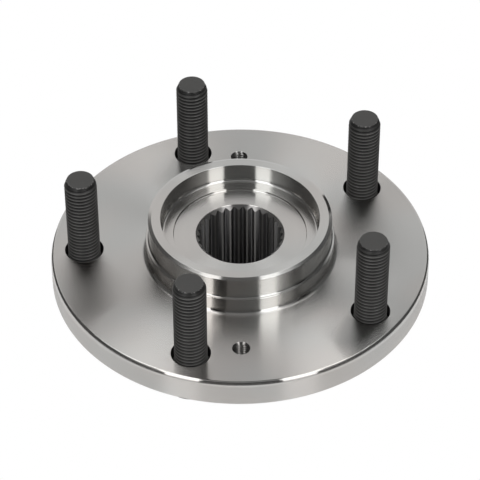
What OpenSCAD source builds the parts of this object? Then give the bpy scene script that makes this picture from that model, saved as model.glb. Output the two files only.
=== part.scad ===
// Driven wheel hub: a turned and ground steel forging with five pressed-in wheel studs
// and a splined bore for the axle.
// The origin is on the hub's axis, in the face that the brake disc and the wheel seat on.
// Z points outwards, from the suspension to the wheel. All sizes are in millimetres.

/* [Flange] */
// Outer diameter of the flange
flange_d = 138.6; // [136:0.1:150]
// Thickness of the flange at its rim
flange_t = 10.6; // [8:0.1:14]
// Radius of the rim's edge in the wheel face
rim_round = 1; // [0.4:0.1:1.5]
// Edge break round the back of the rim
rim_back_break = 0.6; // [0.2:0.1:1.2]

/* [Pilot ring] */
// Diameter that centres the wheel
wheel_pilot_d = 66.9; // [64:0.1:68]
// Height of the ring above the wheel face
ring_h = 15.35; // [14:0.05:22]
// Radial width of the ring's lead-in bevel
ring_bevel_w = 1.2; // [0.5:0.05:1.6]
// Height of the ring's lead-in bevel
ring_bevel_h = 0.55; // [0.3:0.05:1.5]
// Diameter that centres the brake disc
disc_pilot_d = 69; // [68.6:0.1:74]
// Height of the disc pilot above the wheel face
disc_pilot_h = 6.5; // [5:0.1:9]
// Edge break on top of the disc pilot
disc_pilot_break = 0.15; // [0.1:0.05:0.3]
// Fillet between the wheel pilot and the disc pilot
pilot_fillet = 0.9; // [0.3:0.05:1.2]
// Fillet between the disc pilot and the wheel face
face_fillet = 1.6; // [0.4:0.1:2]

/* [Axle nut cup] */
// Diameter of the cup inside the pilot ring
cup_d = 57.8; // [54:0.1:60]
// Edge break round the mouth of the cup
cup_break = 0.2; // [0.1:0.05:0.5]
// Fillet at the foot of the cup's wall
cup_fillet = 1.2; // [0.4:0.1:1.6]
// Diameter of the nut's washer seat
seat_d = 48.7; // [44:0.1:50]
// Height of the washer seat above the wheel face
seat_h = 7.25; // [5:0.05:10]
// Height of the ledge round the washer seat
ledge_h = 0.8; // [0.5:0.05:1.5]
// Edge break on the ledge
ledge_break = 0.1; // [0.1:0.05:0.25]
// Fillet at the foot of the ledge
seat_fillet = 0.15; // [0.1:0.05:0.25]

/* [Axle spline] */
// Number of spline teeth
spline_teeth = 30; // [24:1:32]
// Turn of the spline from a tapped hole to the nearest tooth
spline_turn = 1.7; // [0:0.1:6]
// Module of the spline: pitch diameter over teeth
spline_module = 1; // [0.9:0.05:1.05]
// Height of a tooth's tip inside the pitch circle
tooth_tip = 0.2; // [0.1:0.05:0.4]
// Depth of a tooth space outside the pitch circle
tooth_root = 0.65; // [0.4:0.05:0.8]
// Width of the flat on a tooth's tip
tip_land = 0.65; // [0.4:0.05:0.9]
// Width of the flat at the bottom of a tooth space
root_land = 0.5; // [0.2:0.05:0.8]
// Width of the lead-in outside the tooth spaces
mouth_margin = 0.6; // [0.3:0.05:1]
// Depth of the lead-in at both ends of the bore
mouth_depth = 1.9; // [1:0.1:3]

/* [Bearing side] */
// Diameter that the bearing is pressed on
bearing_seat_d = 45; // [42:0.5:50]
// Length of the bearing seat from the shoulder to the end
bearing_seat_l = 39; // [30:1:48]
// Radial width of the lead-in bevel at the seat's end
seat_bevel_w = 0.5; // [0.3:0.05:1]
// Length of the lead-in bevel at the seat's end
seat_bevel_l = 1.8; // [1:0.1:3]
// Fillet between the bearing seat and its shoulder
shoulder_fillet = 1.5; // [0.5:0.1:2]
// Diameter of the shoulder that the bearing rests on
shoulder_d = 57; // [55:0.5:62]
// Height of the shoulder above the web
shoulder_h = 4.4; // [3:0.1:7]
// Edge break on the shoulder
shoulder_break = 0.5; // [0.2:0.1:1]
// Height of the web between the flange and the shoulder
web_h = 2.8; // [1.5:0.1:5]
// Radial width of the web's slope
web_slope_w = 5; // [2:0.5:8]
// Fillet between the web and the shoulder
web_fillet = 2; // [0.5:0.1:2.5]
// Free width of flange between the web and the stud heads
head_gap = 3.5; // [1.5:0.1:6]

/* [Wheel studs] */
// Distance from the rim in to the circle that the studs stand on
stud_inset = 12.15; // [10.5:0.05:14]
// Thread diameter of the studs
stud_d = 11.8; // [10:0.1:13]
// Height of the studs above the wheel face
stud_h = 33.65; // [24:0.05:50]
// Height of the bevel at a stud's tip
stud_tip_h = 2.4; // [0.5:0.1:3]
// Radial width of the bevel at a stud's tip
stud_tip_w = 1; // [0.5:0.1:2]
// Diameter over the crests of the knurl
knurl_d = 14.1; // [13.4:0.1:15.5]
// Depth of the knurl's grooves
knurl_depth = 0.4; // [0.2:0.05:0.6]
// Number of ridges on the knurl
knurl_ridges = 40; // [24:1:48]
// Length of the knurl from the head
knurl_l = 6; // [4:0.1:7]
// Height of the bevel on the knurl's front end
knurl_bevel = 0.5; // [0.2:0.1:1]
// Diameter of the turned neck between knurl and thread
neck_d = 10.6; // [8:0.1:11]
// Length of the neck's straight part
neck_l = 1; // [0.5:0.1:1.2]
// Diameter of a stud's head
head_d = 18.6; // [17:0.1:20]
// Thickness of a stud's head
head_t = 3.6; // [2.5:0.1:5]
// Edge break on a stud's head
head_break = 0.8; // [0.3:0.1:1.2]
// Play between the knurl's crests and the hole
knurl_play = 0.02; // [0.01:0.01:0.05]
// Countersink round each stud hole in the wheel face
stud_hole_break = 0.05; // [0.05:0.05:0.5]

/* [Disc screws] */
// Number of tapped holes that hold the disc
screw_count = 2; // [1:1:2]
// Distance from the stud circle in to the circle that they are on
screw_inset = 5.05; // [3:0.05:8]
// Thread diameter of the tapped holes
screw_d = 6; // [4:0.5:8]
// Countersink round each tapped hole
screw_break = 0.2; // [0.1:0.05:0.5]

/* [Hidden] */
$fn = 96;

// Overlap of cuts past the faces that they open, and of shapes that are joined
lap = 0.1;
steel_colour = [0.66, 0.65, 0.63];
oxide_colour = [0.23, 0.22, 0.21];

flange_r = flange_d / 2;
wheel_pilot_r = wheel_pilot_d / 2;
disc_pilot_r = disc_pilot_d / 2;
cup_r = cup_d / 2;
seat_r = seat_d / 2;
ledge_top = seat_h + ledge_h;

pitch_r = spline_teeth * spline_module / 2;
tip_r = pitch_r - tooth_tip;
root_r = pitch_r + tooth_root;
mouth_r = root_r + mouth_margin;
tooth_angle = 360 / spline_teeth;

stud_count = 5;
stud_angle = 360 / stud_count;
first_stud_angle = 180;
// The studs' pitch circle is 114.3 mm in diameter on the flange as it stands
stud_circle_r = flange_r - stud_inset;
stud_r = stud_d / 2;
head_r = head_d / 2;
neck_r = neck_d / 2;
stud_hole_r = knurl_d / 2 + knurl_play;
knurl_top = knurl_l - flange_t;
thread_start = knurl_top + neck_l + stud_r - neck_r;

screw_angle = 360 / screw_count;
first_screw_angle = first_stud_angle - 90;
screw_circle_r = stud_circle_r - screw_inset;
screw_r = screw_d / 2;

// Depths behind the wheel face
web_depth = flange_t + web_h;
shoulder_depth = web_depth + shoulder_h;
spigot_depth = shoulder_depth + bearing_seat_l;

web_foot_r = stud_circle_r - head_r - head_gap;
shoulder_r = shoulder_d / 2;
bearing_seat_r = bearing_seat_d / 2;

// Half section of a step that stands on z = low, with its top outer edge bevelled
module step_section(radius, low, high, bevel_w, bevel_h) {
    polygon([
        [0, low], [radius, low], [radius, high - bevel_h], [radius - bevel_w, high], [0, high]
    ]);
}

// Fills the corner between a wall that rises from the origin and a floor that runs along X,
// outwards for side = 1 and inwards for side = -1
module fillet_section(radius, side = 1) {
    difference() {
        translate([side > 0 ? -lap : -radius, -lap]) square(radius + lap);
        translate([side * radius, radius]) circle(radius);
    }
}

module wheel_side_section() {
    difference() {
        polygon([
            [0, -flange_t], [flange_r - rim_back_break, -flange_t],
            [flange_r, rim_back_break - flange_t], [flange_r, 0], [0, 0]
        ]);
        translate([flange_r, 0]) rotate(180) fillet_section(rim_round);
    }
    step_section(wheel_pilot_r, -lap, ring_h, ring_bevel_w, ring_bevel_h);
    step_section(disc_pilot_r, -lap, disc_pilot_h, disc_pilot_break, disc_pilot_break);
    translate([wheel_pilot_r, disc_pilot_h])
        fillet_section(min(pilot_fillet, disc_pilot_r - wheel_pilot_r - disc_pilot_break));
    translate([disc_pilot_r, 0]) fillet_section(face_fillet);
}

// Drawn with the depth behind the wheel face upwards
module bearing_side_section() {
    step_section(web_foot_r, flange_t - lap, web_depth, web_slope_w, web_h);
    step_section(shoulder_r, web_depth - lap, shoulder_depth, shoulder_break, shoulder_break);
    step_section(bearing_seat_r, shoulder_depth - lap, spigot_depth, seat_bevel_w, seat_bevel_l);
    translate([shoulder_r, web_depth]) fillet_section(web_fillet);
    translate([bearing_seat_r, shoulder_depth]) fillet_section(shoulder_fillet);
}

// What is turned out for the axle nut: the cup, its ledge and the washer seat
module cup_section() {
    difference() {
        union() {
            translate([0, ledge_top]) square([cup_r, ring_h - ledge_top + lap]);
            translate([0, seat_h]) square([seat_r, ledge_h + lap]);
            polygon([
                [0, ring_h - cup_break], [cup_r, ring_h - cup_break],
                [cup_r + cup_break + lap, ring_h + lap], [0, ring_h + lap]
            ]);
            polygon([
                [0, ledge_top - ledge_break], [seat_r, ledge_top - ledge_break],
                [seat_r + ledge_break + lap, ledge_top + lap], [0, ledge_top + lap]
            ]);
        }
        translate([cup_r, ledge_top]) fillet_section(cup_fillet, side = -1);
        translate([seat_r, seat_h]) fillet_section(seat_fillet, side = -1);
    }
}

module turned_body() {
    difference() {
        union() {
            rotate_extrude() wheel_side_section();
            mirror([0, 0, 1]) rotate_extrude() bearing_side_section();
        }
        rotate_extrude() cup_section();
    }
}

// Outline of the splined bore: each tooth space runs from tip to root and back
module spline_outline() {
    tip_half = tooth_angle / 2 - asin(tip_land / 2 / tip_r);
    root_half = asin(root_land / 2 / root_r);
    space = [[tip_r, -tip_half], [root_r, -root_half], [root_r, root_half], [tip_r, tip_half]];
    polygon([
        for (tooth = [0 : spline_teeth - 1], corner = space)
            let (angle = first_screw_angle + spline_turn + (tooth + 0.5) * tooth_angle + corner[1])
            corner[0] * [cos(angle), sin(angle)]
    ]);
}

// Lead-in cone at an end of the bore, from the mouth's edge down to the teeth's tips
module bore_mouth() {
    slope = (mouth_r - tip_r) / mouth_depth;
    translate([0, 0, -mouth_depth])
        cylinder(h = mouth_depth + lap, r1 = tip_r, r2 = mouth_r + slope * lap);
}

module axle_bore() {
    translate([0, 0, -spigot_depth - lap])
        linear_extrude(seat_h + spigot_depth + 2 * lap) spline_outline();
    translate([0, 0, seat_h]) bore_mouth();
    translate([0, 0, -spigot_depth]) mirror([0, 0, 1]) bore_mouth();
}

// Hole through the flange with its edge broken in the wheel face
module flange_hole(radius, edge_break) {
    translate([0, 0, -flange_t - lap]) cylinder(h = flange_t + 2 * lap, r = radius);
    translate([0, 0, -edge_break])
        cylinder(h = edge_break + lap, r1 = radius, r2 = radius + edge_break + lap);
}

// Places a shape at one of the places on a circle round the axis
module on_circle(radius, angle) {
    rotate([0, 0, angle]) translate([radius, 0, 0]) children();
}

module hub() {
    color(steel_colour) difference() {
        turned_body();
        axle_bore();
        for (stud = [0 : stud_count - 1])
            on_circle(stud_circle_r, first_stud_angle + stud * stud_angle)
                flange_hole(stud_hole_r, stud_hole_break);
        for (screw = [0 : screw_count - 1])
            on_circle(screw_circle_r, first_screw_angle + screw * screw_angle)
                flange_hole(screw_r, screw_break);
    }
}

// Straight knurl as V-shaped ridges that bite into the hole's wall
module knurl_outline() {
    crest = knurl_d / 2;
    polygon([
        for (ridge = [0 : knurl_ridges - 1], side = [0, 0.5])
            let (angle = (ridge + side) * 360 / knurl_ridges)
            (side == 0 ? crest : crest - knurl_depth) * [cos(angle), sin(angle)]
    ]);
}

module knurled_shank() {
    intersection() {
        translate([0, 0, -flange_t - lap]) linear_extrude(knurl_l + lap) knurl_outline();
        rotate_extrude()
            step_section(knurl_d / 2 + lap, -flange_t - lap, knurl_top, knurl_bevel + lap, knurl_bevel + lap);
    }
}

module stud_section() {
    head_back = -flange_t - head_t;
    polygon([
        [0, head_back], [head_r - head_break, head_back], [head_r, head_back + head_break],
        [head_r, -flange_t], [neck_r, -flange_t], [neck_r, knurl_top + neck_l],
        [stud_r, thread_start], [stud_r, stud_h - stud_tip_h], [stud_r - stud_tip_w, stud_h], [0, stud_h]
    ]);
}

module wheel_stud(number) {
    color(oxide_colour)
        on_circle(stud_circle_r, first_stud_angle + (number - 1) * stud_angle) {
            rotate_extrude() stud_section();
            knurled_shank();
        }
}

hub();
wheel_stud(1);  // wheel_stud_1
wheel_stud(2);  // wheel_stud_2
wheel_stud(3);  // wheel_stud_3
wheel_stud(4);  // wheel_stud_4
wheel_stud(5);  // wheel_stud_5
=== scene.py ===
"""A driven wheel hub: a turned steel forging with a splined bore and five black wheel studs.

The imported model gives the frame. The hub and its studs are rebuilt here with the same sizes, as
finely turned surfaces with cut threads, and take the place of the model's own nodes.
Forms are drawn in millimetres and brought to metres when a piece is finished.
"""
import logging
import math
from dataclasses import dataclass, field
from enum import Enum
from typing import Any, Dict, List, Optional, Sequence, Tuple, Union

import bpy
from mathutils import Matrix, Vector


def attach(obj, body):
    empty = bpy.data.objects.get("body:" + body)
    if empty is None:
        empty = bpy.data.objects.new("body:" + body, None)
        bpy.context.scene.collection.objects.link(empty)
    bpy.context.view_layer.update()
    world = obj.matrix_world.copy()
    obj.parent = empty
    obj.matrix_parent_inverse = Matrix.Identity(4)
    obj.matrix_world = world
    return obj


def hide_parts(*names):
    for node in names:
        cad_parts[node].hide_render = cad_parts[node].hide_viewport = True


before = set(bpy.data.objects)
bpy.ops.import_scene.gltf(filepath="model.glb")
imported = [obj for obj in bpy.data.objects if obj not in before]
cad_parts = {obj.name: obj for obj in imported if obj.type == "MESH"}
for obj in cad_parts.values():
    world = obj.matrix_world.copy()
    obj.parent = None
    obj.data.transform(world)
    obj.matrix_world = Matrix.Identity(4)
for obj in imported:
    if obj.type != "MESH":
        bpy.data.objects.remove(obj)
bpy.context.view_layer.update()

MILLIMETRE = 0.001
STUD_COUNT = 5
Point = Tuple[float, float]
Colour = Tuple[float, float, float]

log = logging.getLogger("wheel_hub")


# Node trees

class Value:
    """A node's output that Python's operators work on."""

    def __init__(self, net: "Net", socket: bpy.types.NodeSocket) -> None:
        """Keeps the socket and the tree it is in."""
        self.net = net
        self.socket = socket

    def __add__(self, other: "Number") -> "Value":
        """Sum."""
        return self.net.math("ADD", self, other)

    __radd__ = __add__

    def __sub__(self, other: "Number") -> "Value":
        """Difference."""
        return self.net.math("SUBTRACT", self, other)

    def __rsub__(self, other: "Number") -> "Value":
        """Difference, with the value on the right."""
        return self.net.math("SUBTRACT", other, self)

    def __mul__(self, other: "Number") -> "Value":
        """Product."""
        return self.net.math("MULTIPLY", self, other)

    __rmul__ = __mul__

    def __truediv__(self, other: "Number") -> "Value":
        """Quotient."""
        return self.net.math("DIVIDE", self, other)

    def __abs__(self) -> "Value":
        """Size without its sign."""
        return self.net.math("ABSOLUTE", self)

    def at_least(self, other: "Number") -> "Value":
        """The larger of the two."""
        return self.net.math("MAXIMUM", self, other)

    def at_most(self, other: "Number") -> "Value":
        """The smaller of the two."""
        return self.net.math("MINIMUM", self, other)

    def rise(self, low: float, high: float) -> "Value":
        """A smooth step from 0 at low to 1 at high.

        Args:
            low: Value at which the step starts.
            high: Value at which the step ends.

        Returns:
            The step, from 0 to 1.
        """
        made = self.net.node(
            "ShaderNodeMapRange", {"interpolation_type": "SMOOTHSTEP"},
            {"Value": self, "From Min": low, "From Max": high})
        return self.net.value(made, "Result")

    def fall(self, low: float, high: float) -> "Value":
        """A smooth step from 1 at low to 0 at high."""
        return 1 - self.rise(low, high)

    def between(self, start: Point, end: Point) -> "Value":
        """1 inside a range that rises over the first soft edge and falls over the second."""
        return self.rise(*start) * self.fall(*end)


Number = Union[Value, float]


class Net:
    """A shader or geometry node tree under construction."""

    def __init__(self, tree: bpy.types.NodeTree) -> None:
        """Keeps the tree that nodes are added to."""
        self.tree = tree

    def node(self, kind: str, settings: Optional[Dict[str, Any]] = None,
             sockets: Optional[Dict[str, Any]] = None) -> bpy.types.Node:
        """Adds a node.

        Args:
            kind: Node type.
            settings: Properties of the node, set first.
            sockets: Values or links of its inputs, by identifier or name.

        Returns:
            The node.
        """
        made = self.tree.nodes.new(kind)
        for name, setting in (settings or {}).items():
            setattr(made, name, setting)
        self.feed(made, sockets or {})
        return made

    def value(self, made: bpy.types.Node, name: str) -> Value:
        """An output of a node, by identifier or name, as a value."""
        return Value(self, self._find(made.outputs, name))

    def math(self, operation: str, *terms: Number) -> Value:
        """A Math node's result for the given operation and terms."""
        made = self.node("ShaderNodeMath", {"operation": operation},
                         {self._term(index): term for index, term in enumerate(terms)})
        return self.value(made, "Value")

    def blend(self, share: Value, low: Any, high: Any) -> Value:
        """Mixes two colours.

        Args:
            share: 0 for the first colour, 1 for the second.
            low: First colour, as red, green and blue or as a link.
            high: Second colour.

        Returns:
            The mixed colour.
        """
        made = self.node("ShaderNodeMix", {"data_type": "RGBA"}, {
            "Factor_Float": share, "A_Color": self._colour(low), "B_Color": self._colour(high)})
        return self.value(made, "Result_Color")

    def tint(self, colour: Any, amount: Number) -> Value:
        """Scales a colour's brightness."""
        made = self.node("ShaderNodeVectorMath", {"operation": "SCALE"},
                         {"Vector": colour, "Scale": amount})
        return self.value(made, "Vector")

    def vector(self, **parts: Number) -> bpy.types.NodeSocket:
        """A vector of the given parts, X, Y and Z, each 0 without one."""
        return self.node("ShaderNodeCombineXYZ", None, parts).outputs[0]

    def parts(self, vector: Any) -> List[Value]:
        """X, Y and Z of a vector."""
        apart = self.node("ShaderNodeSeparateXYZ", None, {"Vector": vector})
        return [self.value(apart, axis) for axis in "XYZ"]

    def place(self) -> List[Value]:
        """X, Y and Z of the point on the object, in millimetres."""
        parts = self.parts(self.node("ShaderNodeTexCoord").outputs["Object"])
        return [part * (1 / MILLIMETRE) for part in parts]

    def noise(self, scale: float, detail: float, roughness: float = 0.5,
              along: Optional[Value] = None) -> Value:
        """Noise in the object's space, or in one dimension.

        Args:
            scale: Scale of the noise.
            detail: How many finer layers it has.
            roughness: How strong the finer layers are.
            along: Place in one dimension; without it the noise fills space.

        Returns:
            The noise, from 0 to 1.
        """
        sockets = {"Scale": scale, "Detail": detail, "Roughness": roughness}
        if along is None:
            sockets["Vector"] = self.node("ShaderNodeTexCoord").outputs["Object"]
            settings = {}
        else:
            sockets["W"] = along
            settings = {"noise_dimensions": "1D"}
        return self.value(self.node("ShaderNodeTexNoise", settings, sockets), "Fac")

    def feed(self, made: bpy.types.Node, sockets: Dict[str, Any]) -> None:
        """Sets or links inputs of a node that is there already, by identifier or name."""
        for name, given in sockets.items():
            self._feed(self._find(made.inputs, name), given)

    @staticmethod
    def _colour(given: Any) -> Any:
        """Red, green and blue with full cover added, or the link as it is."""
        return (*given, 1.0) if isinstance(given, tuple) else given

    @staticmethod
    def _term(index: int) -> str:
        """Identifier of a Math node's input."""
        return "Value" if index == 0 else f"Value_{index:03d}"

    @staticmethod
    def _find(sockets: Any, name: str) -> bpy.types.NodeSocket:
        """The socket with that identifier, or else that name."""
        for socket in sockets:
            if socket.identifier == name:
                return socket
        return sockets[name]

    def _feed(self, socket: bpy.types.NodeSocket, given: Any) -> None:
        """Links a value or a socket to an input, or sets the input's own value."""
        if isinstance(given, Value):
            given = given.socket
        if isinstance(given, bpy.types.NodeSocket):
            self.tree.links.new(given, socket)
        else:
            socket.default_value = given


class ShapeNet(Net):
    """A geometry node tree with named inputs and one geometry output."""

    def __init__(self, name: str) -> None:
        """Makes the tree with its group input and output."""
        super().__init__(bpy.data.node_groups.new(name, "GeometryNodeTree"))
        self.entry = self.tree.nodes.new("NodeGroupInput")
        self.exit = self.tree.nodes.new("NodeGroupOutput")
        self.geometry = self.input("Geometry", "NodeSocketGeometry")
        self.tree.interface.new_socket(
            "Geometry", in_out="OUTPUT", socket_type="NodeSocketGeometry")

    def input(self, name: str, kind: str = "NodeSocketFloat", default: Any = None) -> Value:
        """Adds a named input to the tree.

        Args:
            name: Name that the input is set by.
            kind: Socket type.
            default: Value when nothing is given.

        Returns:
            The input's value.
        """
        made = self.tree.interface.new_socket(name, in_out="INPUT", socket_type=kind)
        if default is not None:
            made.default_value = default
        return self.value(self.entry, made.identifier)

    def attribute(self, name: str) -> Value:
        """A named number that is stored on the geometry."""
        return self.value(self.node("GeometryNodeInputNamedAttribute", {"data_type": "FLOAT"},
                                    {"Name": name}), "Attribute")

    def finish(self, shape: Any, material: Value) -> bpy.types.NodeTree:
        """Ends the tree in Realize Instances and Set Material.

        Args:
            shape: Node whose first output is the finished shape.
            material: Input that holds the material.

        Returns:
            The tree.
        """
        real = self.node("GeometryNodeRealizeInstances", None, {"Geometry": shape.outputs[0]})
        dressed = self.node("GeometryNodeSetMaterial", None,
                            {"Geometry": real.outputs[0], "Material": material})
        self.tree.links.new(dressed.outputs[0], self.exit.inputs[0])
        return self.tree


def apply_tree(piece: bpy.types.Object, tree: bpy.types.NodeTree, **given: Any) -> None:
    """Runs a geometry tree on a piece and keeps the result as its plain mesh.

    Args:
        piece: Object whose mesh the tree starts from.
        tree: Geometry tree.
        **given: Input values, by the input's name with underscores for spaces.
    """
    modifier = piece.modifiers.new(tree.name, "NODES")
    modifier.node_group = tree
    names = {item.name: item.identifier for item in tree.interface.items_tree
             if item.in_out == "INPUT"}
    for name, setting in given.items():
        modifier[names[name.replace("_", " ")]] = setting
    graph = bpy.context.evaluated_depsgraph_get()
    mesh = bpy.data.meshes.new_from_object(piece.evaluated_get(graph), depsgraph=graph)
    piece.modifiers.remove(modifier)
    worn = piece.data
    piece.data = mesh
    mesh.name = piece.name
    bpy.data.meshes.remove(worn)


def new_object(name: str, data: bpy.types.ID) -> bpy.types.Object:
    """Adds an object to the scene.

    Args:
        name: Name of the object.
        data: Its mesh, camera or light.

    Returns:
        The object.
    """
    made = bpy.data.objects.new(name, data)
    bpy.context.scene.collection.objects.link(made)
    return made


# Sections

@dataclass(frozen=True)
class Corner:
    """A corner of a turned section and the radius of its arc, in millimetres."""

    radius: float
    height: float
    rounding: float = 0.0


@dataclass
class Section:
    """Points of a turned section, from its inner low end outwards, up and back in."""

    # Radius and height of each row of the turned surface
    points: List[Point] = field(default_factory=list)
    # 1 for a row that climbs with the thread's lead, otherwise 0
    leads: List[float] = field(default_factory=list)
    # 1 for a row that carries knurled ridges, otherwise 0
    ridges: List[float] = field(default_factory=list)

    ARC_STEP = math.radians(8)
    LEAST_STEPS = 3
    # Share of the shorter side that an arc may take up
    ARC_SHARE = 0.47
    # Rows beside an arc's ends: their distance, its share of the room, and the least worth a row
    SUPPORT, SUPPORT_SHARE, LEAST_SUPPORT = 0.25, 0.9, 0.02

    def add(self, points: Sequence[Point], lead: float = 0.0, ridge: float = 0.0) -> "Section":
        """Adds rows.

        Args:
            points: Radius and height of each row.
            lead: 1 where the rows climb with the thread.
            ridge: 1 where the rows carry ridges.

        Returns:
            The section itself.
        """
        self.points.extend(points)
        self.leads.extend([lead] * len(points))
        self.ridges.extend([ridge] * len(points))
        return self

    def add_corners(self, corners: Sequence[Corner], closed: bool = False) -> "Section":
        """Adds a run of corners, each rounded by its own arc.

        Args:
            corners: Corners in order.
            closed: Whether the last corner leads back to the first.

        Returns:
            The section itself.
        """
        points: List[Point] = []
        for index, corner in enumerate(corners):
            inner = closed or 0 < index < len(corners) - 1
            if corner.rounding > 0 and inner:
                after = corners[(index + 1) % len(corners)]
                points.extend(self._arc(corners[index - 1], corner, after))
            else:
                points.append((corner.radius, corner.height))
        if closed:
            points.append(points[0])
        return self.add(points)

    def _arc(self, before: Corner, corner: Corner, after: Corner) -> List[Point]:
        """Rounds a corner.

        Args:
            before: Corner before it.
            corner: Corner to round.
            after: Corner after it.

        Returns:
            Points of the arc, with a row beside each end on the straight where there is room.
        """
        here = Vector((corner.radius, corner.height))
        back = Vector((before.radius, before.height)) - here
        ahead = Vector((after.radius, after.height)) - here
        room = self.ARC_SHARE * min(back.length, ahead.length)
        back.normalize()
        ahead.normalize()
        half = back.angle(ahead) / 2
        reach = min(corner.rounding / math.tan(half), room)
        radius = reach * math.tan(half)
        centre = here + (back + ahead).normalized() * (radius / math.sin(half))
        turn = math.pi - 2 * half
        steps = max(self.LEAST_STEPS, math.ceil(turn / self.ARC_STEP))
        start = here + back * reach - centre
        side = 1.0 if back.cross(ahead) < 0 else -1.0
        arc = [centre + Matrix.Rotation(side * turn * step / steps, 2) @ start
               for step in range(steps + 1)]
        spare = min(self.SUPPORT, (room - reach) * self.SUPPORT_SHARE)
        if spare > self.LEAST_SUPPORT:
            arc = [arc[0] + back * spare, *arc, arc[-1] + ahead * spare]
        return [tuple(point) for point in arc]

    def mesh(self, name: str) -> bpy.types.Mesh:
        """Makes the rows' mesh.

        Args:
            name: Name of the mesh.

        Returns:
            A line of points, with what each row carries as attributes.
        """
        made = bpy.data.meshes.new(name)
        rows = [(radius, 0.0, height) for radius, height in self.points]
        made.from_pydata(rows, [(i, i + 1) for i in range(len(rows) - 1)], [])
        for title, numbers in (("lead", self.leads), ("ridge", self.ridges)):
            stored = made.attributes.new(title, "FLOAT", "POINT")
            stored.data.foreach_set("value", numbers)
        return made


@dataclass(frozen=True)
class Thread:
    """A metric thread: radii of crest and root, heights of foot and tip, in millimetres."""

    pitch: float
    crest: float
    root: float
    foot: float
    tip: float

    # Place along one pitch and share of the depth, from a crest's middle to the groove's
    HALF = ((0.0, 1.0), (0.055, 0.985), (0.085, 0.92), (0.24, 0.47), (0.395, 0.06), (0.44, 0.01),
            (0.5, 0.0))
    PROFILE = HALF + tuple((1 - place, share) for place, share in reversed(HALF[1:-1]))

    def rows(self) -> List[Point]:
        """Radius and height of each row, from one pitch below the foot up to the tip."""
        turns = math.ceil((self.tip - self.foot) / self.pitch) + 1
        rows = [(self.root + (self.crest - self.root) * share,
                 self.foot + (turn - 1 + place) * self.pitch)
                for turn in range(turns) for place, share in self.PROFILE]
        return rows + [(self.crest, self.foot + (turns - 1) * self.pitch)]


# Geometry trees

# Points of a turned piece that are closer than this become one, in millimetres
SEAM_GAP = 0.0004
# Share of a ridge by which they are shifted, clear of rounding errors at the seam
RIDGE_SHIFT = 0.0001


def turning_tree() -> bpy.types.NodeTree:
    """Tree that turns a section round the Z axis, with a thread's lead and knurled ridges.

    Returns:
        The tree, which works in millimetres.
    """
    net = ShapeNet("turned_section")
    segments = net.input("Segments", "NodeSocketInt", 96)
    pitch = net.input("Pitch", default=1.0)
    foot = net.input("Thread Foot")
    tip = net.input("Thread Tip", default=1.0)
    neck = net.input("Neck Radius", default=1.0)
    tip_radius = net.input("Tip Radius", default=1000.0)
    tip_slope = net.input("Tip Slope")
    ridge_count = net.input("Ridge Count")
    ridge_depth = net.input("Ridge Depth")
    crest = net.input("Crest Radius", default=1.0)
    circle = net.input("Circle Radius")
    angle = net.input("Angle")
    material = net.input("Material", "NodeSocketMaterial")

    size = net.node("GeometryNodeAttributeDomainSize", {"component": "MESH"},
                    {"Geometry": net.geometry})
    rows = net.value(size, "Point Count")
    grid = net.node("GeometryNodeMeshGrid", None,
                    {"Size X": rows - 1, "Size Y": segments, "Vertices X": rows,
                     "Vertices Y": segments + 1})
    position = net.node("GeometryNodeInputPosition").outputs[0]
    x, y, _ = net.parts(position)
    row = net.math("ROUND", x + (rows - 1) / 2)
    column = net.math("ROUND", y + segments / 2)

    def sampled(kind: str, field_value: Any) -> Value:
        """What the section holds for this row."""
        found = net.node("GeometryNodeSampleIndex", {"data_type": kind}, {
            "Geometry": net.geometry, "Value": field_value, "Index": row})
        return net.value(found, "Value")

    drawn_radius, _, drawn_height = net.parts(sampled("FLOAT_VECTOR", position))
    lead = sampled("FLOAT", net.attribute("lead"))
    ridge = sampled("FLOAT", net.attribute("ridge"))

    share = column / segments
    climbed = (drawn_height + pitch * share).at_least(foot).at_most(tip)
    height = drawn_height + lead * (climbed - drawn_height)
    run_out = ((height - foot) / pitch).at_least(0.0).at_most(1.0)
    threaded = neck + (drawn_radius - neck) * run_out
    threaded = threaded.at_most(tip_radius + (tip - height) * tip_slope)
    radius = drawn_radius + lead * (threaded - drawn_radius)
    valley = 1 - abs(2 * net.math("FRACT", share * ridge_count + RIDGE_SHIFT) - 1)
    radius = radius - ridge * ridge_depth * valley

    turn = share * math.tau
    placed = net.vector(X=radius * net.math("COSINE", turn), Y=radius * net.math("SINE", turn),
                        Z=height)
    marked = net.node("GeometryNodeStoreNamedAttribute", {"data_type": "FLOAT", "domain": "POINT"},
                      {"Geometry": grid.outputs[0], "Name": "crest", "Value": radius / crest})
    turned = net.node("GeometryNodeSetPosition", None,
                      {"Geometry": marked.outputs[0], "Position": placed})
    whole = net.node("GeometryNodeMergeByDistance", None,
                     {"Geometry": turned.outputs[0], "Distance": SEAM_GAP})
    outward = net.node("GeometryNodeFlipFaces", None, {"Mesh": whole.outputs[0]})
    shifted = net.node("GeometryNodeTransform", None,
                       {"Geometry": outward.outputs[0], "Translation": net.vector(X=circle)})
    swung = net.node("GeometryNodeTransform", None,
                     {"Geometry": shifted.outputs[0], "Rotation": net.vector(Z=angle)})
    return net.finish(swung, material)


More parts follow.
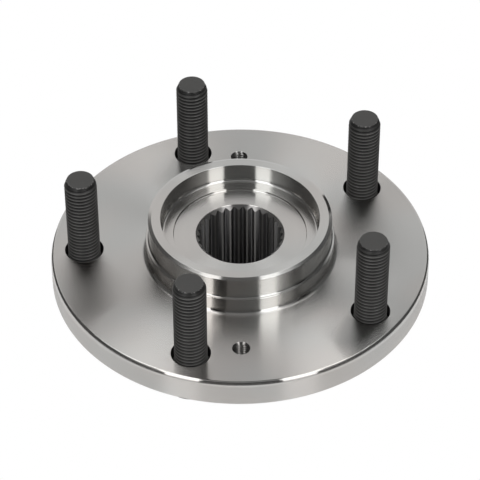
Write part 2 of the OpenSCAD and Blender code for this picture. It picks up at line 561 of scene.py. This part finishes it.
def cutting_tree() -> bpy.types.NodeTree:
    """Tree that cuts a tool's shape out of a piece at equal steps round the Z axis.

    Returns:
        The tree.
    """
    net = ShapeNet("cut_round_axis")
    tool = net.input("Tool", "NodeSocketObject")
    count = net.input("Count", "NodeSocketInt", 1)
    circle = net.input("Circle Radius")
    first = net.input("First Angle")
    material = net.input("Material", "NodeSocketMaterial")

    index = net.value(net.node("GeometryNodeInputIndex"), "Index")
    angle = first + index * math.tau / count
    places = net.node("GeometryNodePoints", None, {"Count": count, "Position": net.vector(
        X=circle * net.math("COSINE", angle), Y=circle * net.math("SINE", angle))})
    shape = net.node("GeometryNodeObjectInfo", None, {"Object": tool})
    tools = net.node("GeometryNodeInstanceOnPoints", None, {
        "Points": places.outputs[0], "Instance": net.value(shape, "Geometry"),
        "Rotation": net.vector(Z=angle)})
    cutters = net.node("GeometryNodeRealizeInstances", None, {"Geometry": tools.outputs[0]})
    cut = net.node("GeometryNodeMeshBoolean", {"operation": "DIFFERENCE", "solver": "MANIFOLD"},
                   {"Mesh 1": net.geometry, "Mesh 2": cutters.outputs[0]})
    return net.finish(cut, material)


# Finishes

# Turn of the longer reflections, so that they lie across the tool marks
ACROSS_MARKS = 0.25


class HubAreas:
    """Shares of the hub's areas at a point of its surface, each from 0 to 1.

    The class constants are the areas' soft edges, from start to end, as distances from the axis
    or heights above the wheel face, in millimetres.
    """

    RING_FOOT, RING_SIDE = (0.25, 0.9), (35.0, 35.6)
    PILOT_SIDE, PILOT_TOP = ((33.9, 34.0), (34.7, 34.8)), (6.3, 6.4)
    # Soft edge of the cone that the bore's lead-in is cut to, and where the cone meets the tooth tips
    MOUTH, MOUTH_R, MOUTH_HEIGHT = (-0.02, 0.02), 14.8, 5.8
    SPLINE_SIDE, SPLINE_END, TOOTH_TIP = (16.1, 16.15), (-54.9, -54.8), (14.83, 14.9)
    SHOULDER = (-18.1, -17.8)
    HOLE_SIDES, HOLE_ENDS = ((48.5, 48.7), (65.0, 65.2)), ((-10.5, -10.4), (-0.1, -0.02))
    # Half the width of the strip that only the tapped holes lie in
    TAPPED_STRIP = (3.9, 4.1)
    LEDGE_WALL, LEDGE_SIDE = ((7.28, 7.3), (8.0, 8.05)), (24.6, 24.8)
    EDGE_SIDE, EDGE_FOOT = (68.1, 68.3), (-2.4, -1.6)

    def __init__(self, x: Value, z: Value, radius: Value) -> None:
        """Works out the areas.

        Args:
            x: Place along the X axis, in millimetres.
            z: Height above the wheel face.
            radius: Distance from the hub's axis.
        """
        mouth = (z - self.MOUTH_HEIGHT) - (radius - self.MOUTH_R)
        spline = radius.fall(*self.SPLINE_SIDE) * mouth.fall(*self.MOUTH)
        # Walls of the splined bore, and its tooth spaces
        self.spline = spline * z.rise(*self.SPLINE_END)
        self.spaces = self.spline * radius.rise(*self.TOOTH_TIP)
        # Ground diameters and the pilot ring, and the diameter that centres the brake disc
        above = z.rise(*self.RING_FOOT)
        ground = above * radius.fall(*self.RING_SIDE) + z.fall(*self.SHOULDER)
        self.smooth = (ground * (1 - self.spline)).at_most(1.0)
        self.pilot = above * radius.between(*self.PILOT_SIDE) * z.fall(*self.PILOT_TOP)
        # Walls of the studs' holes, and threads of the tapped holes
        sunk = radius.between(*self.HOLE_SIDES) * z.between(*self.HOLE_ENDS)
        self.holes = sunk * abs(x).rise(*self.TAPPED_STRIP)
        self.threads = sunk - self.holes
        # Low wall round the washer seat, and rounded edge of the rim
        self.ledge = z.between(*self.LEDGE_WALL) * radius.fall(*self.LEDGE_SIDE)
        self.edge = radius.rise(*self.EDGE_SIDE) * z.rise(*self.EDGE_FOOT)


@dataclass(frozen=True)
class Steel:
    """Bare steel as it comes off the lathe and the grinder."""

    colour: Colour = (0.67, 0.645, 0.62)
    cool: Colour = (0.65, 0.648, 0.632)  # Cooler patches
    bore_shade_colour: Colour = (0.22, 0.216, 0.216)  # Tooth spaces, darkened as painted shade deep in the bore
    tooth_shade_colour: Colour = (0.38, 0.37, 0.36)  # Tips of the teeth, darkened as painted shade in the bore
    hole_shade_colour: Colour = (0.1, 0.098, 0.096)  # Walls of the studs' holes, darkened as painted shade
    thread_shade_share: float = 0.6  # How far the tapped holes take that painted shade too
    turned: float = 0.25  # Roughness of turned faces
    ground: float = 0.16  # Roughness of ground faces, and so on below
    pilot: float = 0.08
    broken: float = 0.12  # The rim's rounded edge
    bore: float = 0.48
    drilled: float = 0.5
    tapped: float = 0.24
    grain: float = 1.0  # How much longer the reflections are across the tool marks
    mark_pitch: float = 0.22  # Distance between tool marks, in millimetres
    mark_depth: float = 0.0000001  # In metres
    mark_strength: float = 0.6
    band_scale: float = 0.45  # Noise of the turned bands
    patch_scale: float = 38.0  # Noise that clouds the finish
    hue_scale: float = 26.0  # Noise that cools the colour

    # How fast the marks run along the axis, measured against across it
    AXIAL_RUN = 1.31
    # What bands, patches and tool marks change in roughness, and bands and patches in brightness
    BAND_ROUGH, PATCH_ROUGH, MARK_ROUGH = 0.03, 0.06, 0.01
    BAND_TONE, PATCH_TONE = 0.03, 0.05
    # Share of the patches that smooth areas don't show
    CALM = 0.6
    # Noise from which the colour cools, and at which it's cool
    COOLING = (0.35, 0.65)

    def material(self) -> bpy.types.Material:
        """Makes the hub's material.

        Returns:
            The material, which reads Object coordinates.
        """
        made = bpy.data.materials.new("turned_steel")
        made.use_nodes = True
        net = Net(made.node_tree)
        x, y, z = net.place()
        radius = net.math("SQRT", x * x + y * y)
        areas = HubAreas(x, z, radius)

        along = radius + z * self.AXIAL_RUN
        marks = net.noise(1.0, 1.0, along=along / self.mark_pitch)
        bands = net.noise(self.band_scale, 3.0, along=along) - 0.5
        patches = net.noise(self.patch_scale, 2.0) - 0.5
        rough = self._roughness(areas) + bands * self.BAND_ROUGH + (marks - 0.5) * self.MARK_ROUGH
        rough = rough + patches * self.PATCH_ROUGH * (1 - areas.smooth * self.CALM)

        cooled = net.noise(self.hue_scale, 1.0).rise(*self.COOLING)
        colour = net.blend(cooled, self.colour, self.cool)
        # Painted shade: the splined bore is darkened, its tooth spaces most
        colour = net.blend(areas.spline, colour, self.tooth_shade_colour)
        colour = net.blend(areas.spaces, colour, self.bore_shade_colour)
        # Painted shade in the studs' holes and, less, in the tapped holes
        shaded_holes = areas.holes + areas.threads * self.thread_shade_share
        colour = net.blend(shaded_holes, colour, self.hole_shade_colour)
        tone = 1 + bands * self.BAND_TONE + patches * self.PATCH_TONE
        bump = net.node("ShaderNodeBump", None, {
            "Strength": self.mark_strength, "Distance": self.mark_depth,
            "Height": marks * (1 - areas.spline)})

        net.feed(made.node_tree.nodes["Principled BSDF"], {
            "Base Color": net.tint(colour, tone), "Roughness": rough, "Normal": bump.outputs[0],
            "Metallic": 1.0, "Anisotropic": self.grain, "Anisotropic Rotation": ACROSS_MARKS})
        return made

    def _roughness(self, areas: HubAreas) -> Value:
        """Adds up the areas' roughness.

        Args:
            areas: Shares of the areas.

        Returns:
            Their roughness, before bands, patches and tool marks.
        """
        rough = self.turned + areas.smooth * (self.ground - self.turned)
        rough = rough + areas.pilot * (self.pilot - self.ground)
        for area, own in ((areas.spline, self.bore), (areas.ledge, self.pilot),
                          (areas.edge, self.broken), (areas.holes, self.drilled),
                          (areas.threads, self.tapped)):
            rough = rough + area * (own - self.turned)
        return rough


@dataclass(frozen=True)
class BlackOxide:
    """Black oxide on the studs, slightly oily, paler where nuts and dies rub it, with painted
    highlight on the crests and painted shade in the roots.
    """

    colour: Colour = (0.048, 0.047, 0.045)
    rubbed_and_lit: Colour = (0.155, 0.152, 0.147)  # Crests, paler from rubbing and as a painted highlight
    groove_shade: Colour = (0.018, 0.0175, 0.017)  # Roots and flanks of the thread, darkened as painted shade
    chipped: Colour = (0.22, 0.215, 0.21)  # Where the oxide has come off
    roughness: float = 0.42
    grain: float = 0.3
    metal: float = 0.1
    cloud_scale: float = 260.0
    speck_scale: float = 1900.0
    speck_height: float = 0.00002  # In metres
    speck_strength: float = 0.35

    # Soft edges, from start to end, as shares of the thread's outer radius
    RUBBED_CREST, CHIPPED_CREST = (0.965, 0.995), (0.975, 0.985)
    SHADED_ROOTS = ((0.835, 0.845), (0.86, 0.96))
    TIP_EDGE = (0.79, 0.81)
    # Soft edge of the stud's tip, as heights in millimetres
    TIP_HEIGHT = (33.2, 33.4)
    # Noise from which the oxide is chipped, at the tip's edge and on the crests
    TIP_CHIPS, CREST_CHIPS = (0.54, 0.64), (0.36, 0.42)
    # Wear and painted highlight of the crests, and brightness of the oxide, each without the clouds
    # and what they add
    CREST_WEAR, TONE = (0.35, 0.9), (0.9, 0.2)
    # What clouds and specks change in the roughness
    CLOUD_ROUGH, SPECK_ROUGH = 0.16, 0.08

    def material(self) -> bpy.types.Material:
        """Makes the studs' material.

        Returns:
            The material, which reads Object coordinates and the crest attribute.
        """
        made = bpy.data.materials.new("black_oxide")
        made.use_nodes = True
        net = Net(made.node_tree)
        z = net.place()[2]
        crest = net.value(net.node("ShaderNodeAttribute", {"attribute_name": "crest"}), "Fac")
        cloud = net.noise(self.cloud_scale, 4.0, roughness=0.6)
        speck = net.noise(self.speck_scale, 2.0)

        crest_wear_and_highlight, tone = (base + cloud * added for base, added in (self.CREST_WEAR, self.TONE))
        # Crests paler: rub wear and painted highlight
        worn = (crest.rise(*self.RUBBED_CREST) * crest_wear_and_highlight).at_most(1.0)
        edge = z.rise(*self.TIP_HEIGHT) * crest.rise(*self.TIP_EDGE) * speck.rise(*self.TIP_CHIPS)
        chips = crest.rise(*self.CHIPPED_CREST) * (speck * cloud).rise(*self.CREST_CHIPS)
        # Painted shade in the thread's roots and flanks
        colour = net.blend(crest.between(*self.SHADED_ROOTS), self.colour, self.groove_shade)
        colour = net.blend(worn, colour, self.rubbed_and_lit)
        colour = net.blend((edge + chips).at_most(1.0), colour, self.chipped)
        rough = self.roughness + (cloud - 0.5) * self.CLOUD_ROUGH + (speck - 0.5) * self.SPECK_ROUGH
        bump = net.node("ShaderNodeBump", None, {
            "Strength": self.speck_strength, "Distance": self.speck_height, "Height": speck})
        net.feed(made.node_tree.nodes["Principled BSDF"], {
            "Base Color": net.tint(colour, tone), "Roughness": rough, "Normal": bump.outputs[0],
            "Metallic": self.metal, "Anisotropic": self.grain, "Anisotropic Rotation": ACROSS_MARKS})
        return made


class Finish(Enum):
    """The finishes of the hub's pieces, by the record's material slot."""

    HUB = "hub_steel"
    STUD = "stud_oxide"


# Pieces

@dataclass
class Workshop:
    """What pieces of one finish are made with: trees that turn and cut, and a material."""

    turning: bpy.types.NodeTree
    cutting: bpy.types.NodeTree
    finish: Finish
    material: bpy.types.Material

    EDGE_ANGLE = math.radians(14)

    def turn(self, name: str, section: Section, **given: Any) -> bpy.types.Object:
        """Turns a section into a solid.

        Args:
            name: Name of the piece.
            section: Section to turn.
            **given: Inputs of the turning tree.

        Returns:
            The solid, in millimetres.
        """
        made = new_object(name, section.mesh(name))
        apply_tree(made, self.turning, Material=self.material, **given)
        return made

    def cut(self, piece: bpy.types.Object, tool: bpy.types.Object, **given: Any) -> None:
        """Cuts a tool's shape out of a piece round the axis, and puts the tool away.

        Args:
            piece: Piece to cut, in millimetres.
            tool: Tool, in millimetres, drawn on the X axis.
            **given: Inputs of the cutting tree.
        """
        apply_tree(piece, self.cutting, Tool=tool, Material=self.material, **given)
        shape = tool.data
        bpy.data.objects.remove(tool)
        bpy.data.meshes.remove(shape)

    def hand_over(self, piece: bpy.types.Object, *nodes: str) -> None:
        """Brings a piece to metres, smooths it and sets it in place of the model's nodes.

        Args:
            piece: Finished piece, in millimetres.
            *nodes: Nodes that the piece stands for.
        """
        mesh = piece.data
        mesh.transform(Matrix.Scale(MILLIMETRE, 4))
        mesh.shade_smooth()
        mesh.set_sharp_from_angle(angle=self.EDGE_ANGLE)
        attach(piece, "root")
        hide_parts(*nodes)
        triangles = sum(len(face.vertices) - 2 for face in mesh.polygons)
        log.info("%s stands for %s: %d triangles", piece.name, ", ".join(nodes), triangles)


@dataclass
class HubForging:
    """The hub: wheel flange, pilot ring, nut cup, splined bore and bearing spigot.

    Sizes are in millimetres. Heights are above the wheel face, and _r stands for a radius.
    """

    workshop: Workshop
    flange_r: float = 69.3
    flange_t: float = 10.6
    disc_pilot_r: float = 34.5
    wheel_pilot_r: float = 33.45
    step_h: float = 6.5  # Step between the two pilots
    ring_h: float = 15.35
    ring_lead: Point = (1.2, 0.55)  # Width and height of the ring's lead-in
    cup_r: float = 28.9
    seat_r: float = 24.35
    seat_h: float = 7.25
    ledge_h: float = 0.8  # Ledge round the washer seat, above it
    rim_edge: Point = (0.42, 1.5)  # Width and height of the rim's sloping edge
    spigot_r: float = 22.5
    spigot_end: float = -56.8
    spigot_lead: Point = (0.5, 1.8)  # Width and height of the spigot's lead-in
    shoulder_r: float = 28.5
    shoulder: float = -17.8
    web_foot_r: float = 44.35  # Where the web meets the flange
    web: float = -13.4
    web_taper: float = 5.0  # How far the web narrows from its foot to its back
    tooth_tip_r: float = 14.8
    tooth_root_r: float = 15.65
    mouth_r: float = 16.25
    mouth_depth: float = 1.45
    teeth: int = 30
    spline_turn: float = 1.7  # First tooth space from the Y axis, in degrees
    tip_land: float = 0.65  # Width of a tooth's tip
    root_land: float = 0.5  # Width of a tooth space's floor
    root_rounding: Point = (0.06, 0.75)  # Height of the roundings there, and share left flat
    stud_circle_r: float = 57.15
    stud_hole_r: float = 7.07
    hole_break: float = 0.05  # Broken edge of a stud's hole
    screw_circle_r: float = 52.1
    screw_count: int = 2
    tapped: Thread = Thread(pitch=1.0, crest=3.0, root=2.46, foot=-11.6, tip=1.0)
    countersink: Sequence[Point] = ((2.3, -0.9), (3.2, 0.0), (3.7, 0.5))
    segments: int = 300

    # How far tools reach past the faces that they cut through, and cones past theirs
    PAST, BEVEL_PAST = 1.0, 0.5
    DRILL_SEGMENTS, TAP_SEGMENTS = 96, 64
    FLANK_STEPS = 6

    def section(self) -> Section:
        """The turned section, from the bore's lower mouth out, up the rim and down the bore."""
        lead_width, lead_height = self.spigot_lead
        edge_width, edge_height = self.rim_edge
        ring_width, ring_height = self.ring_lead
        ledge = self.seat_h + self.ledge_h
        rows = (
            (self.mouth_r, self.spigot_end, 0.1),
            (self.spigot_r - lead_width, self.spigot_end, 0.2),
            (self.spigot_r, self.spigot_end + lead_height, 0.4),
            (self.spigot_r, self.shoulder, 1.5),
            (self.shoulder_r, self.shoulder, 0.4),
            (self.shoulder_r, self.web, 2.0),
            (self.web_foot_r - self.web_taper, self.web, 0.8),
            (self.web_foot_r, -self.flange_t, 0.8),
            (self.flange_r, -self.flange_t, 0.5),
            (self.flange_r, -edge_height, 3.0),
            (self.flange_r - edge_width, 0.0, 1.0),
            (self.disc_pilot_r, 0.0, 1.6),
            (self.disc_pilot_r, self.step_h, 0.15),
            (self.wheel_pilot_r, self.step_h, 0.9),
            (self.wheel_pilot_r, self.ring_h - ring_height, 0.1),
            (self.wheel_pilot_r - ring_width, self.ring_h, 0.1),
            (self.cup_r, self.ring_h, 0.18),
            (self.cup_r, ledge, 1.2),
            (self.seat_r, ledge, 0.08),
            (self.seat_r, self.seat_h, 0.3),
            (self.mouth_r, self.seat_h, 0.06),
            (self.tooth_tip_r, self.seat_h - self.mouth_depth, 0.04),
            (self.tooth_tip_r, self.spigot_end + self.mouth_depth, 0.04),
        )
        return Section().add_corners([Corner(*row) for row in rows], closed=True)

    def bore_tool(self, name: str, rows: Sequence[Point]) -> bpy.types.Object:
        """Makes a plain round cutting tool.

        Args:
            name: Name of the tool.
            rows: Radius and height of its rows, from low to high.

        Returns:
            The tool, closed to its axis.
        """
        low, high = rows[0][1], rows[-1][1]
        section = Section().add([(0.0, low), *rows, (0.0, high)])
        return self.workshop.turn(name, section, Segments=self.DRILL_SEGMENTS)

    def tap(self) -> bpy.types.Object:
        """Makes the tap that cuts the disc screws' threads.

        Returns:
            The tap.
        """
        thread = self.tapped
        section = Section().add([(0.0, thread.foot), (thread.root, thread.foot)])
        section.add(thread.rows(), lead=1.0)
        section.add([(thread.root, thread.tip), (0.0, thread.tip)])
        return self.workshop.turn(
            "tap", section, Segments=self.TAP_SEGMENTS, Pitch=thread.pitch,
            Thread_Foot=thread.foot, Thread_Tip=thread.tip, Neck_Radius=thread.root,
            Tip_Radius=thread.root, Tip_Slope=1.0)

    def broach(self) -> bpy.types.Object:
        """Makes the broach tooth that cuts one space of the spline, from end to end of the bore.

        Returns:
            The tooth, on the X axis.
        """
        half_pitch = math.pi / self.teeth
        tip_half = half_pitch - math.asin(self.tip_land / 2 / self.tooth_tip_r)
        root_half = math.asin(self.root_land / 2 / self.tooth_root_r)
        flank = (root_half - tip_half) / (self.tooth_root_r - self.tooth_tip_r)
        rounding, flat = self.root_rounding
        flank_end = self.tooth_root_r - rounding
        outline = [(self.tooth_tip_r - self.PAST, -(tip_half - flank * self.PAST))]
        for step in range(self.FLANK_STEPS + 1):
            radius = self.tooth_tip_r + (flank_end - self.tooth_tip_r) * step / self.FLANK_STEPS
            outline.append((radius, -(tip_half + flank * (radius - self.tooth_tip_r))))
        outline.append((self.tooth_root_r, -root_half * flat))
        outline += [(radius, -angle) for radius, angle in reversed(outline)]
        ends = (self.spigot_end - self.PAST, self.seat_h + self.PAST)
        points = [(radius * math.cos(angle), radius * math.sin(angle), height)
                  for height in ends for radius, angle in outline]
        count = len(outline)
        sides = [(i, (i + 1) % count, count + (i + 1) % count, count + i) for i in range(count)]
        mesh = bpy.data.meshes.new("broach")
        mesh.from_pydata(points, [], [tuple(reversed(range(count))),
                                      tuple(range(count, 2 * count)), *sides])
        return new_object("broach", mesh)

    def build(self) -> None:
        """Turns the hub, broaches its spline and drills its holes."""
        workshop = self.workshop
        hub = workshop.turn("hub_forging", self.section(), Segments=self.segments)
        first_space = math.radians(90 + self.spline_turn) + math.pi / self.teeth
        workshop.cut(hub, self.broach(), Count=self.teeth, First_Angle=first_space)
        past = self.hole_break + self.BEVEL_PAST
        drill = self.bore_tool("drill", [
            (self.stud_hole_r, -self.flange_t - self.PAST), (self.stud_hole_r, -self.hole_break),
            (self.stud_hole_r + past, self.BEVEL_PAST)])
        workshop.cut(hub, drill, Count=STUD_COUNT, Circle_Radius=self.stud_circle_r,
                     First_Angle=math.pi)
        for tool in (self.tap(), self.bore_tool("countersink", self.countersink)):
            workshop.cut(hub, tool, Count=self.screw_count, Circle_Radius=self.screw_circle_r,
                         First_Angle=math.pi / 2)
        workshop.hand_over(hub, "hub")


@dataclass
class WheelStud:
    """A pressed-in wheel stud, in millimetres, with heights above the wheel face."""

    workshop: Workshop
    number: int  # Place on the stud circle, from 1
    circle_r: float = 57.15
    head_r: float = 9.3
    head_low: float = -14.2
    head_top: float = -10.6
    knurl_r: float = 7.05
    knurl_top: float = -4.6
    knurl_lead: float = 0.5  # Width and height of the knurl's lead-in
    ridges: float = 40.0
    ridge_depth: float = 0.4
    neck_r: float = 5.3
    neck_bevel: float = 0.3  # Width and height of the bevel between knurl and neck
    tip_r: float = 4.87
    tip_slope: float = 0.42  # How fast the bevel below the tip widens
    height: float = 33.65
    thread: Thread = Thread(pitch=1.5, crest=5.88, root=5.0, foot=-3.5, tip=33.4)
    segments: int = 80

    # Angle of the first stud, and size of the step between head and knurl
    FIRST_ANGLE, STEP = 180.0, 0.02

    def section(self) -> Section:
        """The stud's section, from the middle of its head out and up to the middle of its tip."""
        section = Section().add_corners([
            Corner(0.0, self.head_low), Corner(self.head_r, self.head_low, 0.8),
            Corner(self.head_r, self.head_top, 0.1), Corner(self.knurl_r - self.STEP, self.head_top)])
        section.add([(self.knurl_r, self.head_top + self.STEP),
                     (self.knurl_r, self.knurl_top - self.knurl_lead)], ridge=1.0)
        section.add([(self.knurl_r - self.knurl_lead, self.knurl_top),
                     (self.neck_r + self.neck_bevel, self.knurl_top),
                     (self.neck_r, self.knurl_top + self.neck_bevel),
                     (self.neck_r, self.thread.foot)])
        section.add(self.thread.rows(), lead=1.0)
        return section.add_corners([
            Corner(self.bevel_r, self.thread.tip), Corner(self.tip_r, self.height, 0.25),
            Corner(0.0, self.height)])

    @property
    def bevel_r(self) -> float:
        """Radius of the bevel where the thread ends."""
        return self.tip_r + (self.height - self.thread.tip) * self.tip_slope

    def build(self) -> None:
        """Turns, knurls and threads the stud in its place."""
        thread = self.thread
        angle = self.FIRST_ANGLE + 360 / STUD_COUNT * (self.number - 1)
        stud = self.workshop.turn(
            f"threaded_stud_{self.number}", self.section(), Segments=self.segments,
            Pitch=thread.pitch, Thread_Foot=thread.foot, Thread_Tip=thread.tip,
            Neck_Radius=self.neck_r, Tip_Radius=self.bevel_r, Tip_Slope=self.tip_slope,
            Ridge_Count=self.ridges, Ridge_Depth=self.ridge_depth, Crest_Radius=thread.crest,
            Circle_Radius=self.circle_r, Angle=math.radians(angle))
        self.workshop.hand_over(stud, f"wheel_stud_{self.number}")


# Studio

@dataclass
class Studio:
    """The pale floor, the studio's soft light and the camera, in metres."""

    floor_height: float = -0.0569  # The spigot stands on it
    floor_r: float = 0.2  # Round paper on the floor
    paper: float = 0.8  # Its brightness
    paper_rough: float = 0.9
    camera_place: Tuple[float, float, float] = (-0.000034, -0.64858, 0.59040)
    tilt: float = 42.115  # How far the camera looks down, in degrees
    roll: float = -0.163  # How far it leans
    swing: float = -0.302  # How far it stands round the Z axis
    lens: float = 179.21  # Focal length and width of the sensor, in millimetres
    sensor: float = 36.0
    clip: Point = (0.02, 60.0)  # Nearest and farthest distance that it sees
    dark: float = 0.08  # Radiance away from the lights
    top_light: float = 0.42  # Ceiling between the panels
    wall_light: float = 0.67  # Wall beyond the object
    back_light: float = 0.58  # Soft light in the middle of that wall
    rear_light: float = 2.3  # Two small panels above the object's far side
    side_light: float = 1.9  # Two large panels on either side of the camera
    floor_light: float = 26.0  # Power, size and height of the lamp that lights the floor
    lamp_size: float = 2.4
    lamp_height: float = 2.0

    WHITE = (1.0, 1.0, 1.0, 1.0)
    FLOOR_POINTS = 96

    # Where the lights are, by tangents of the angle from straight up: across to both sides, and
    # beyond, away from the camera. Depth is beyond without its sign. Pairs are soft edges.
    LEAST_RISE = 0.04
    # Borders of the side panels: across beside the object, its gain with depth, and its least slope
    INNER_BORDER, OUTER_BORDER = (0.165, 0.27, 0.4), (0.38, 0.57, 0.85)
    INNER_EDGE, OUTER_EDGE = (-0.015, 0.015), (-0.02, 0.03)
    SIDE_END, SIDE_FOOT = (0.0, 0.12), (-0.4, -0.1)
    # Light that spills past a side panel: its share, how far it reaches and how low
    SPILL, SPILL_REACH, SPILL_FOOT = 0.22, (0.02, 1.0), (0.2, 0.4)
    REAR_SIDES, REAR_ENDS = ((0.1, 0.2), (0.34, 0.44)), ((0.14, 0.24), (0.58, 0.7))
    TOP_SIDE, TOP_ENDS, TOP_GAP = (-0.02, 0.02), ((-0.9, -0.5), (0.4, 0.5)), (0.2, 0.3)
    # The wall's and its soft light's near end, how they widen beyond it, and their sides
    WALL, BACK = ((0.7, 0.9), 0.68, (-0.12, 0.12)), ((0.42, 0.55), 0.36, (-0.1, 0.1))

    def camera(self) -> None:
        """Sets the camera at the photograph's viewing angle."""
        data = bpy.data.cameras.new("camera")
        data.sensor_fit = "HORIZONTAL"
        data.sensor_width = self.sensor
        data.lens = self.lens
        data.clip_start, data.clip_end = self.clip
        made = new_object("camera", data)
        turns = ((self.swing, "Z"), (90 - self.tilt, "X"), (self.roll, "Z"))
        swing, tilt, roll = (Matrix.Rotation(math.radians(angle), 4, axis) for angle, axis in turns)
        made.matrix_world = swing @ Matrix.Translation(self.camera_place) @ tilt @ roll
        bpy.context.scene.camera = made

    def floor(self) -> None:
        """Lays the floor, which the camera sees as plain white."""
        mesh = bpy.data.meshes.new("floor")
        turns = [index * math.tau / self.FLOOR_POINTS for index in range(self.FLOOR_POINTS)]
        mesh.from_pydata([(self.floor_r * math.cos(turn), self.floor_r * math.sin(turn),
                           self.floor_height) for turn in turns], [], [tuple(range(len(turns)))])
        made = new_object("floor", mesh)
        material = bpy.data.materials.new("white_paper")
        material.use_nodes = True
        net = Net(material.node_tree)
        paper = material.node_tree.nodes["Principled BSDF"]
        net.feed(paper, {"Base Color": (self.paper, self.paper, self.paper, 1.0),
                         "Roughness": self.paper_rough})
        seen = net.node("ShaderNodeLightPath").outputs["Is Camera Ray"]
        white = net.node("ShaderNodeEmission", None, {"Color": self.WHITE})
        both = net.node("ShaderNodeMixShader", None, {
            "Fac": seen, "Shader": paper.outputs[0], "Shader_001": white.outputs[0]})
        net.feed(material.node_tree.nodes["Material Output"], {"Surface": both.outputs[0]})
        mesh.materials.append(material)

    def surroundings(self) -> None:
        """Gives the world its soft lights, with white where the camera looks past the object."""
        world = bpy.data.worlds.new("studio")
        bpy.context.scene.world = world
        world.use_nodes = True
        net = Net(world.node_tree)
        x, y, z = net.parts(net.node("ShaderNodeTexCoord").outputs["Generated"])
        lifted = z.at_least(self.LEAST_RISE)
        across, beyond = abs(x) / lifted, y / lifted
        depth = abs(beyond)
        inner, outer = (across - (start + gain * depth).at_least(least * depth)
                        for start, gain, least in (self.INNER_BORDER, self.OUTER_BORDER))

        side = inner.rise(*self.INNER_EDGE) * beyond.fall(*self.SIDE_END) * z.rise(*self.SIDE_FOOT)
        spill = self.SPILL * outer.fall(*self.SPILL_REACH) * z.rise(*self.SPILL_FOOT)
        side = side * (1 - (1 - spill) * outer.rise(*self.OUTER_EDGE))
        rear = across.between(*self.REAR_SIDES) * beyond.between(*self.REAR_ENDS)
        top = inner.fall(*self.TOP_SIDE) * beyond.between(*self.TOP_ENDS) * depth.rise(*self.TOP_GAP)
        wall, back = ((across - spread * beyond).fall(*side_edge) * beyond.rise(*end)
                      for end, spread, side_edge in (self.WALL, self.BACK))

        light = side * self.side_light
        for patch, radiance in ((rear, self.rear_light), (top, self.top_light),
                                (back, self.back_light), (wall, self.wall_light)):
            light = light.at_least(patch * radiance)
        light = light.at_least(self.dark)
        seen = net.value(net.node("ShaderNodeLightPath"), "Is Camera Ray")
        net.feed(world.node_tree.nodes["Background"], {
            "Strength": light + seen * (1 - light), "Color": self.WHITE})

    def lamp(self) -> None:
        """Hangs the large overhead lamp that lights what isn't mirror-like."""
        data = bpy.data.lights.new("overhead", "AREA")
        data.shape = "SQUARE"
        data.size = self.lamp_size
        data.energy = self.floor_light
        made = new_object("overhead", data)
        made.location = (0.0, 0.0, self.lamp_height)
        made.visible_glossy = False
        made.visible_camera = False

    def build(self) -> None:
        """Sets up camera, floor and light."""
        self.camera()
        self.floor()
        self.surroundings()
        self.lamp()
        bpy.context.scene.view_settings.view_transform = "Standard"
        log.info("studio set up")


def main() -> None:
    """Builds the studio, the hub and its studs, and logs each piece's triangle count."""
    logging.basicConfig(level=logging.INFO, format="%(name)s: %(message)s")
    Studio().build()
    trees = turning_tree(), cutting_tree()
    HubForging(Workshop(*trees, Finish.HUB, Steel().material())).build()
    oxide_work = Workshop(*trees, Finish.STUD, BlackOxide().material())
    for number in range(1, STUD_COUNT + 1):
        WheelStud(oxide_work, number).build()


if __name__ == "__main__":
    main()
